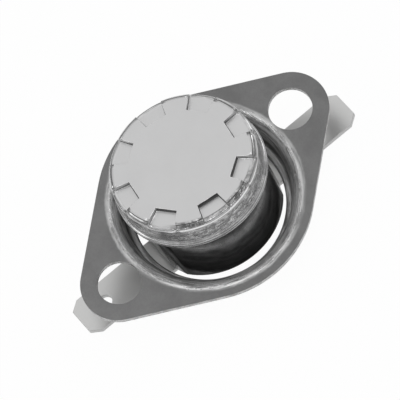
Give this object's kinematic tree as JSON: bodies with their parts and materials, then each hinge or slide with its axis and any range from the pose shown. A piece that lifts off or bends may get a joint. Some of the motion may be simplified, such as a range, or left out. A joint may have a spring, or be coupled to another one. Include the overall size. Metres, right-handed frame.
{
  "type": "bimetal disc thermostat",
  "caption": "Snap-action bimetal disc thermostat: round black body with a stamped metal cap, a loose oval mounting ring and opposed flat push-on terminals.",
  "frame": {"origin": "under the middle of the mounting ring, at the height of the lowest point, with the body standing on its underside and its axis 0.5 mm behind", "axes": "+Z parallel to the body's axis towards the sensing face, +X through the two screw holes of the mounting ring"},
  "size_m": [0.0338, 0.021, 0.012],
  "materials": {
    "cap_metal": "matte stamped",
    "bimetal": "rolled",
    "guide_plastic": "moulded phenolic",
    "pin_ceramic": "bare",
    "base_plastic": "moulded phenolic",
    "spring_brass": "rolled",
    "washer_steel": "plated",
    "contact_metal": "silver",
    "bracket_brass": "rolled",
    "rivet_brass": "tinned",
    "terminal_tin": "matte tin plate",
    "ring_steel": "dull plate"
  },
  "bodies": {
    "body": {"base": "base_plastic", "cap": "cap_metal", "bimetal_disc": "bimetal", "disc_guide": "guide_plastic", "contact_arm": "spring_brass", "arm_washer": "washer_steel", "fixed_contact": "contact_metal", "contact_bracket": "bracket_brass", "rivet_left": "rivet_brass", "rivet_right": "rivet_brass", "terminal_left": "terminal_tin", "terminal_right": "terminal_tin"},
    "ring": {"mounting_ring": "ring_steel"},
    "pin": {"push_pin": "pin_ceramic"},
    "contact": {"moving_contact": "contact_metal"}
  },
  "joints": [
    {"name": "ring_swivel", "type": "hinge", "parent": "body", "child": "ring", "pos_m": [0, 0, 0.00495], "axis": [0, -0.2079, 0.9781], "continuous": true},
    {"name": "pin_slide", "type": "slide", "parent": "body", "child": "pin", "axis": [0, 0, -1], "range_m": [0, 0.00035], "stiffness_N_per_m": 5, "deforming": ["bimetal_disc"]},
    {"name": "contact_slide", "type": "slide", "parent": "body", "child": "contact", "axis": [0, 0, -1], "range_m": [0, 0.00075], "deforming": ["contact_arm"]}
  ],
  "couplings": [
    {"joint": "contact_slide", "follows": "pin_slide", "ratio": 2.115}
  ]
}
